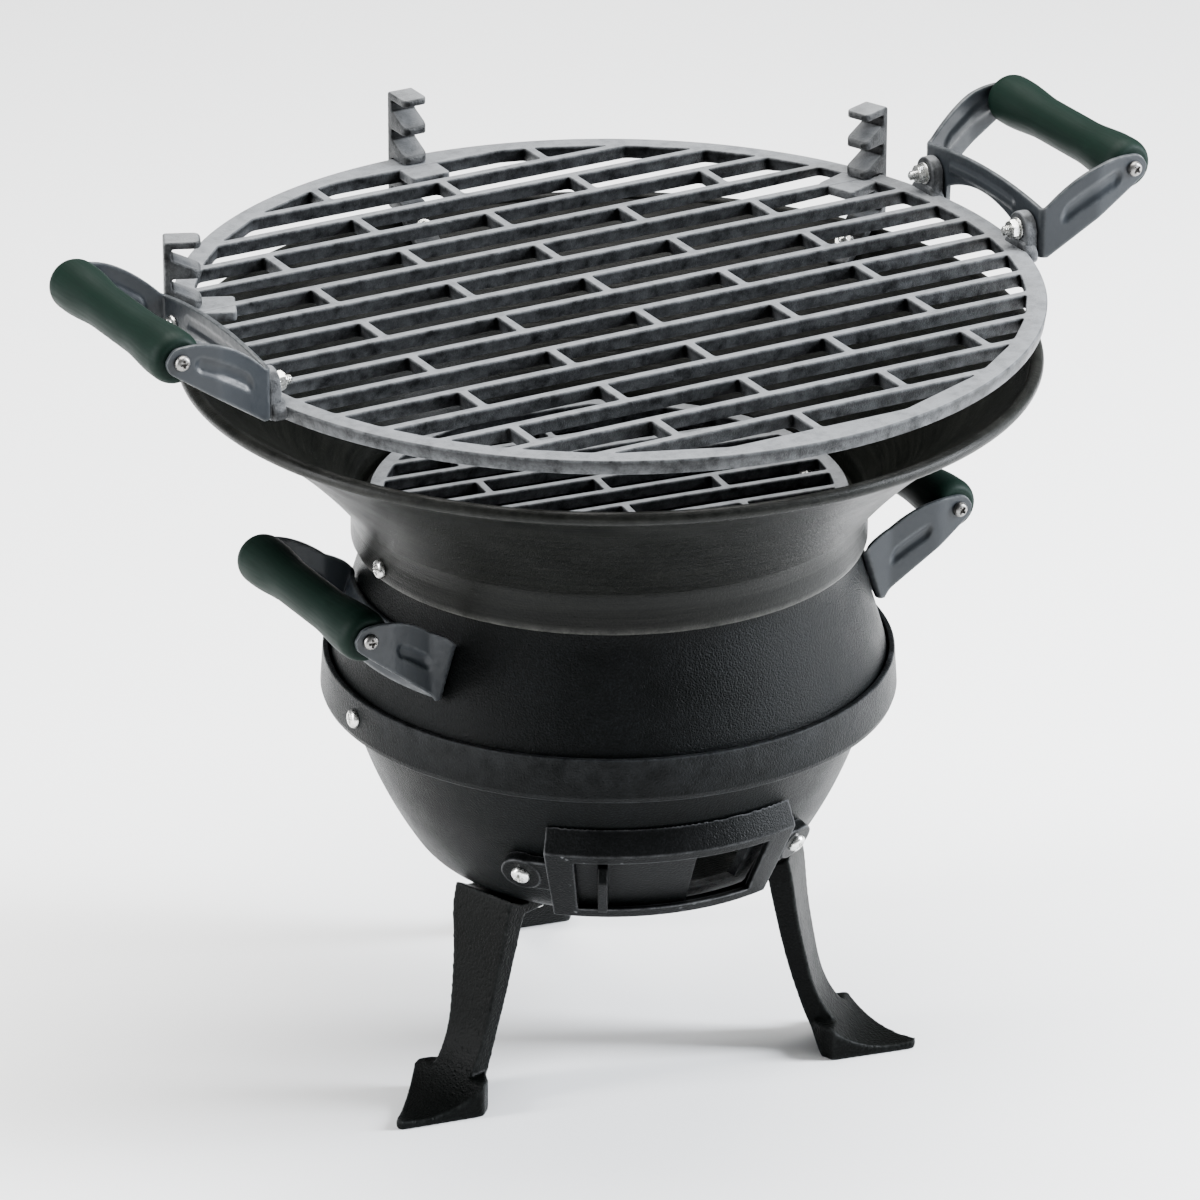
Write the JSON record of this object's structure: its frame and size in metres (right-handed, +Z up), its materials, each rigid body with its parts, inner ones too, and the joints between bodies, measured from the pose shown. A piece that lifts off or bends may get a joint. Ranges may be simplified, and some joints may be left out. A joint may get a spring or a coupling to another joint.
{
  "type": "hibachi grill",
  "caption": "Round cast-iron charcoal hibachi: flared bowl on a bolted barrel pot with legs, sliding air vent, lift-out charcoal grate and a notched, pull-out cooking grate with side handles.",
  "frame": {"origin": "on the floor, under the vertical axis of the pot and the cooking grate", "axes": "+Z up, handles along +X and -X, the cook stands at -Y and the air vent faces there"},
  "size_m": [0.4542, 0.3536, 0.3672],
  "materials": {
    "body_iron": "satin black paint on sand-cast iron",
    "vent_iron": "satin black paint on sand-cast iron",
    "grate_iron": "black cast iron with paler ground top faces",
    "support_iron": "satin black with pale edges",
    "bracket_paint": "satin blue-black paint",
    "grip_paint": "dark green satin paint",
    "zinc": "bright zinc plate"
  },
  "bodies": {
    "grill": {"band_nuts": "zinc", "band_screws": "zinc", "bowl": "body_iron", "collar_nuts": "zinc", "collar_screws": "zinc", "grate_support_left": "support_iron", "grate_support_rear": "support_iron", "grate_support_right": "support_iron", "leg_bolts": "zinc", "leg_front_left": "body_iron", "leg_front_right": "body_iron", "leg_nuts": "zinc", "leg_rear": "body_iron", "lower_pot": "body_iron", "pot_bracket_bolts": "zinc", "pot_bracket_left": "bracket_paint", "pot_bracket_nuts": "zinc", "pot_bracket_right": "bracket_paint", "pot_bracket_washers": "zinc", "pot_grip_left": "grip_paint", "pot_grip_right": "grip_paint", "pot_grip_screws": "zinc", "support_nuts": "zinc", "support_screws": "zinc", "upper_pot": "body_iron", "vent_frame": "vent_iron", "vent_nuts": "zinc", "vent_screws": "zinc"},
    "cook_top": {"cooking_grate": "grate_iron", "grate_bracket_left": "bracket_paint", "grate_bracket_right": "bracket_paint", "grate_grip_left": "grip_paint", "grate_grip_right": "grip_paint", "grate_grip_screws": "zinc", "grate_bracket_bolts": "zinc", "grate_bracket_washers": "zinc", "grate_bracket_nuts": "zinc"},
    "coal_bed": {"charcoal_grate": "grate_iron"},
    "damper": {"vent_damper": "vent_iron"}
  },
  "joints": [
    {"name": "cooking_grate_pull", "type": "slide", "parent": "grill", "child": "cook_top", "axis": [0, -1, 0], "range_m": [0, 0.05]},
    {"name": "charcoal_grate_lift", "type": "slide", "parent": "grill", "child": "coal_bed", "axis": [0, 0, 1], "range_m": [0, 0.06]},
    {"name": "vent_damper_turn", "type": "hinge", "parent": "grill", "child": "damper", "pos_m": [0, 0, 0.11], "axis": [0, 0, 1], "range_deg": [0, 20]}
  ]
}
